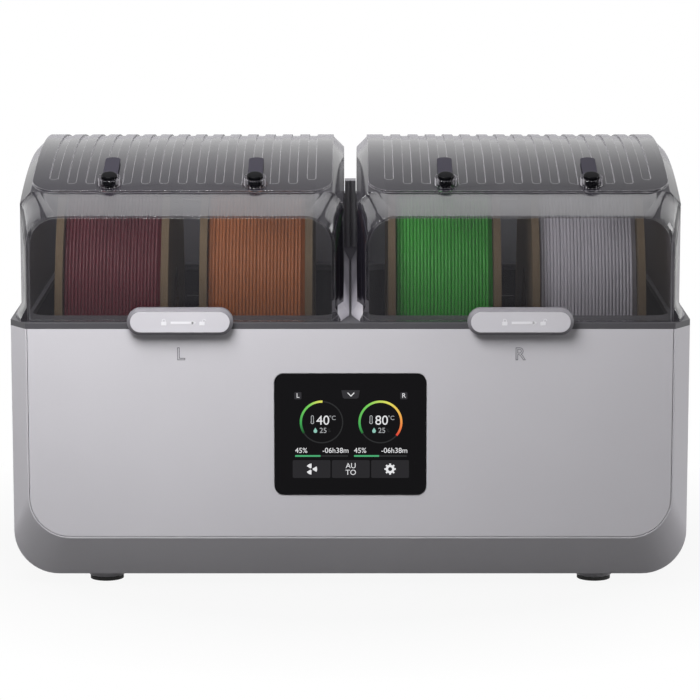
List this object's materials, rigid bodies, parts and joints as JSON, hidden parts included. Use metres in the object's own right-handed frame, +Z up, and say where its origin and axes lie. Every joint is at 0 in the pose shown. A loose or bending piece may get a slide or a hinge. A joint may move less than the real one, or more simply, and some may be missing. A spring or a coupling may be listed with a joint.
{
  "type": "filament dryer box",
  "caption": "Heated dry box for 3-D printer filament with two side-by-side chambers under hinged arched clear lids, spools on rollers, sliding latches and a touch screen.",
  "frame": {"origin": "centre of the bounding box on the table plane under the feet", "axes": "+X to the right as seen from the screen side, +Y to the back, +Z up"},
  "size_m": [0.4, 0.2782, 0.2555],
  "materials": {
    "shell": "metallic grey paint",
    "silver_panel": "satin silver paint",
    "dark_plastic": "fine grain",
    "black_plastic": "matte",
    "chamber_plastic": "matte",
    "screen_glass": "polished black glass",
    "electronics": "matte",
    "circuit_board": "solder mask",
    "steel": "ground",
    "rubber": "matte",
    "plug_rubber": "satin",
    "smoky_lid": "polished, smoky clear",
    "latch_silver": "satin silver",
    "heater_fins": "plain",
    "roller_plastic": "satin",
    "spool_board": "matte card",
    "filament_1": "satin maroon",
    "filament_2": "satin orange brown",
    "filament_3": "satin green",
    "filament_4": "satin silver grey"
  },
  "bodies": {
    "dryer": {"base_shell": "shell", "bottom_cover": "dark_plastic", "chamber_tub_left": "chamber_plastic", "chamber_tub_right": "chamber_plastic", "control_board": "circuit_board", "cover_screws": "steel", "display_module": "electronics", "fan_frame_left": "black_plastic", "fan_frame_right": "black_plastic", "floor_grille_left": "chamber_plastic", "floor_grille_right": "chamber_plastic", "foot_cups": "dark_plastic", "foot_pads": "rubber", "front_panel": "silver_panel", "heater_left": "heater_fins", "heater_right": "heater_fins", "hinge_pins": "steel", "humidity_sensors": "electronics", "lid_seal_left": "rubber", "lid_seal_right": "rubber", "power_board": "circuit_board", "power_inlet": "black_plastic", "rear_wall": "dark_plastic", "roller_axles": "steel", "roller_brackets": "chamber_plastic", "screen_glass": "screen_glass", "switch_housing": "black_plastic", "top_deck": "dark_plastic"},
    "left_lid": {"lid_left": "smoky_lid"},
    "right_lid": {"lid_right": "smoky_lid"},
    "plug_1": {"outlet_plug_1": "plug_rubber"},
    "plug_2": {"outlet_plug_2": "plug_rubber"},
    "plug_3": {"outlet_plug_3": "plug_rubber"},
    "plug_4": {"outlet_plug_4": "plug_rubber"},
    "left_latch": {"latch_slider_left": "latch_silver"},
    "right_latch": {"latch_slider_right": "latch_silver"},
    "spool_1_body": {"spool_1": "spool_board", "filament_core_1": "filament_1", "filament_turns_1": "filament_1"},
    "roller_1_front_body": {"roller_1_front": "roller_plastic"},
    "roller_1_rear_body": {"roller_1_rear": "roller_plastic"},
    "spool_2_body": {"spool_2": "spool_board", "filament_core_2": "filament_2", "filament_turns_2": "filament_2"},
    "roller_2_front_body": {"roller_2_front": "roller_plastic"},
    "roller_2_rear_body": {"roller_2_rear": "roller_plastic"},
    "spool_3_body": {"spool_3": "spool_board", "filament_core_3": "filament_3", "filament_turns_3": "filament_3"},
    "roller_3_front_body": {"roller_3_front": "roller_plastic"},
    "roller_3_rear_body": {"roller_3_rear": "roller_plastic"},
    "spool_4_body": {"spool_4": "spool_board", "filament_core_4": "filament_4", "filament_turns_4": "filament_4"},
    "roller_4_front_body": {"roller_4_front": "roller_plastic"},
    "roller_4_rear_body": {"roller_4_rear": "roller_plastic"},
    "left_impeller": {"impeller_left": "black_plastic"},
    "right_impeller": {"impeller_right": "black_plastic"},
    "rocker": {"switch_rocker": "black_plastic"}
  },
  "joints": [
    {"name": "left_lid_hinge", "type": "hinge", "parent": "dryer", "child": "left_lid", "pos_m": [-0.0993, 0.1304, 0.2145], "axis": [-1, 0, 0], "range_deg": [0, 90]},
    {"name": "right_lid_hinge", "type": "hinge", "parent": "dryer", "child": "right_lid", "pos_m": [0.0993, 0.1304, 0.2145], "axis": [-1, 0, 0], "range_deg": [0, 90]},
    {"name": "plug_1_pull", "type": "slide", "parent": "left_lid", "child": "plug_1", "axis": [0, -0.3243, 0.946], "range_m": [0, 0.012]},
    {"name": "plug_2_pull", "type": "slide", "parent": "left_lid", "child": "plug_2", "axis": [0, -0.3243, 0.946], "range_m": [0, 0.012]},
    {"name": "plug_3_pull", "type": "slide", "parent": "right_lid", "child": "plug_3", "axis": [0, -0.3243, 0.946], "range_m": [0, 0.012]},
    {"name": "plug_4_pull", "type": "slide", "parent": "right_lid", "child": "plug_4", "axis": [0, -0.3243, 0.946], "range_m": [0, 0.012]},
    {"name": "left_latch_slide", "type": "slide", "parent": "dryer", "child": "left_latch", "axis": [-1, 0, 0], "range_m": [0, 0.008]},
    {"name": "right_latch_slide", "type": "slide", "parent": "dryer", "child": "right_latch", "axis": [-1, 0, 0], "range_m": [0, 0.008]},
    {"name": "spool_1_spin", "type": "hinge", "parent": "dryer", "child": "spool_1_body", "pos_m": [-0.1423, 0.00215, 0.1475], "axis": [1, 0, 0], "continuous": true},
    {"name": "roller_1_front_spin", "type": "hinge", "parent": "dryer", "child": "roller_1_front_body", "pos_m": [-0.1423, -0.05485, 0.05541], "axis": [1, 0, 0], "continuous": true},
    {"name": "roller_1_rear_spin", "type": "hinge", "parent": "dryer", "child": "roller_1_rear_body", "pos_m": [-0.1423, 0.05915, 0.05541], "axis": [1, 0, 0], "continuous": true},
    {"name": "spool_2_spin", "type": "hinge", "parent": "dryer", "child": "spool_2_body", "pos_m": [-0.0563, 0.00215, 0.1475], "axis": [1, 0, 0], "continuous": true},
    {"name": "roller_2_front_spin", "type": "hinge", "parent": "dryer", "child": "roller_2_front_body", "pos_m": [-0.0563, -0.05485, 0.05541], "axis": [1, 0, 0], "continuous": true},
    {"name": "roller_2_rear_spin", "type": "hinge", "parent": "dryer", "child": "roller_2_rear_body", "pos_m": [-0.0563, 0.05915, 0.05541], "axis": [1, 0, 0], "continuous": true},
    {"name": "spool_3_spin", "type": "hinge", "parent": "dryer", "child": "spool_3_body", "pos_m": [0.0563, 0.00215, 0.1475], "axis": [1, 0, 0], "continuous": true},
    {"name": "roller_3_front_spin", "type": "hinge", "parent": "dryer", "child": "roller_3_front_body", "pos_m": [0.0563, -0.05485, 0.05541], "axis": [1, 0, 0], "continuous": true},
    {"name": "roller_3_rear_spin", "type": "hinge", "parent": "dryer", "child": "roller_3_rear_body", "pos_m": [0.0563, 0.05915, 0.05541], "axis": [1, 0, 0], "continuous": true},
    {"name": "spool_4_spin", "type": "hinge", "parent": "dryer", "child": "spool_4_body", "pos_m": [0.1423, 0.00215, 0.1475], "axis": [1, 0, 0], "continuous": true},
    {"name": "roller_4_front_spin", "type": "hinge", "parent": "dryer", "child": "roller_4_front_body", "pos_m": [0.1423, -0.05485, 0.05541], "axis": [1, 0, 0], "continuous": true},
    {"name": "roller_4_rear_spin", "type": "hinge", "parent": "dryer", "child": "roller_4_rear_body", "pos_m": [0.1423, 0.05915, 0.05541], "axis": [1, 0, 0], "continuous": true},
    {"name": "left_impeller_spin", "type": "hinge", "parent": "dryer", "child": "left_impeller", "pos_m": [-0.0993, 0.00215, 0.0175], "axis": [0, 0, 1], "continuous": true},
    {"name": "right_impeller_spin", "type": "hinge", "parent": "dryer", "child": "right_impeller", "pos_m": [0.0993, 0.00215, 0.0175], "axis": [0, 0, 1], "continuous": true},
    {"name": "rocker_tilt", "type": "hinge", "parent": "dryer", "child": "rocker", "pos_m": [0.118, 0.12965, 0.0226], "axis": [1, 0, 0], "range_deg": [0, 12]}
  ],
  "couplings": [
    {"joint": "roller_1_front_spin", "follows": "spool_1_spin", "ratio": -12.5},
    {"joint": "roller_1_rear_spin", "follows": "spool_1_spin", "ratio": -12.5},
    {"joint": "roller_2_front_spin", "follows": "spool_2_spin", "ratio": -12.5},
    {"joint": "roller_2_rear_spin", "follows": "spool_2_spin", "ratio": -12.5},
    {"joint": "roller_3_front_spin", "follows": "spool_3_spin", "ratio": -12.5},
    {"joint": "roller_3_rear_spin", "follows": "spool_3_spin", "ratio": -12.5},
    {"joint": "roller_4_front_spin", "follows": "spool_4_spin", "ratio": -12.5},
    {"joint": "roller_4_rear_spin", "follows": "spool_4_spin", "ratio": -12.5}
  ]
}
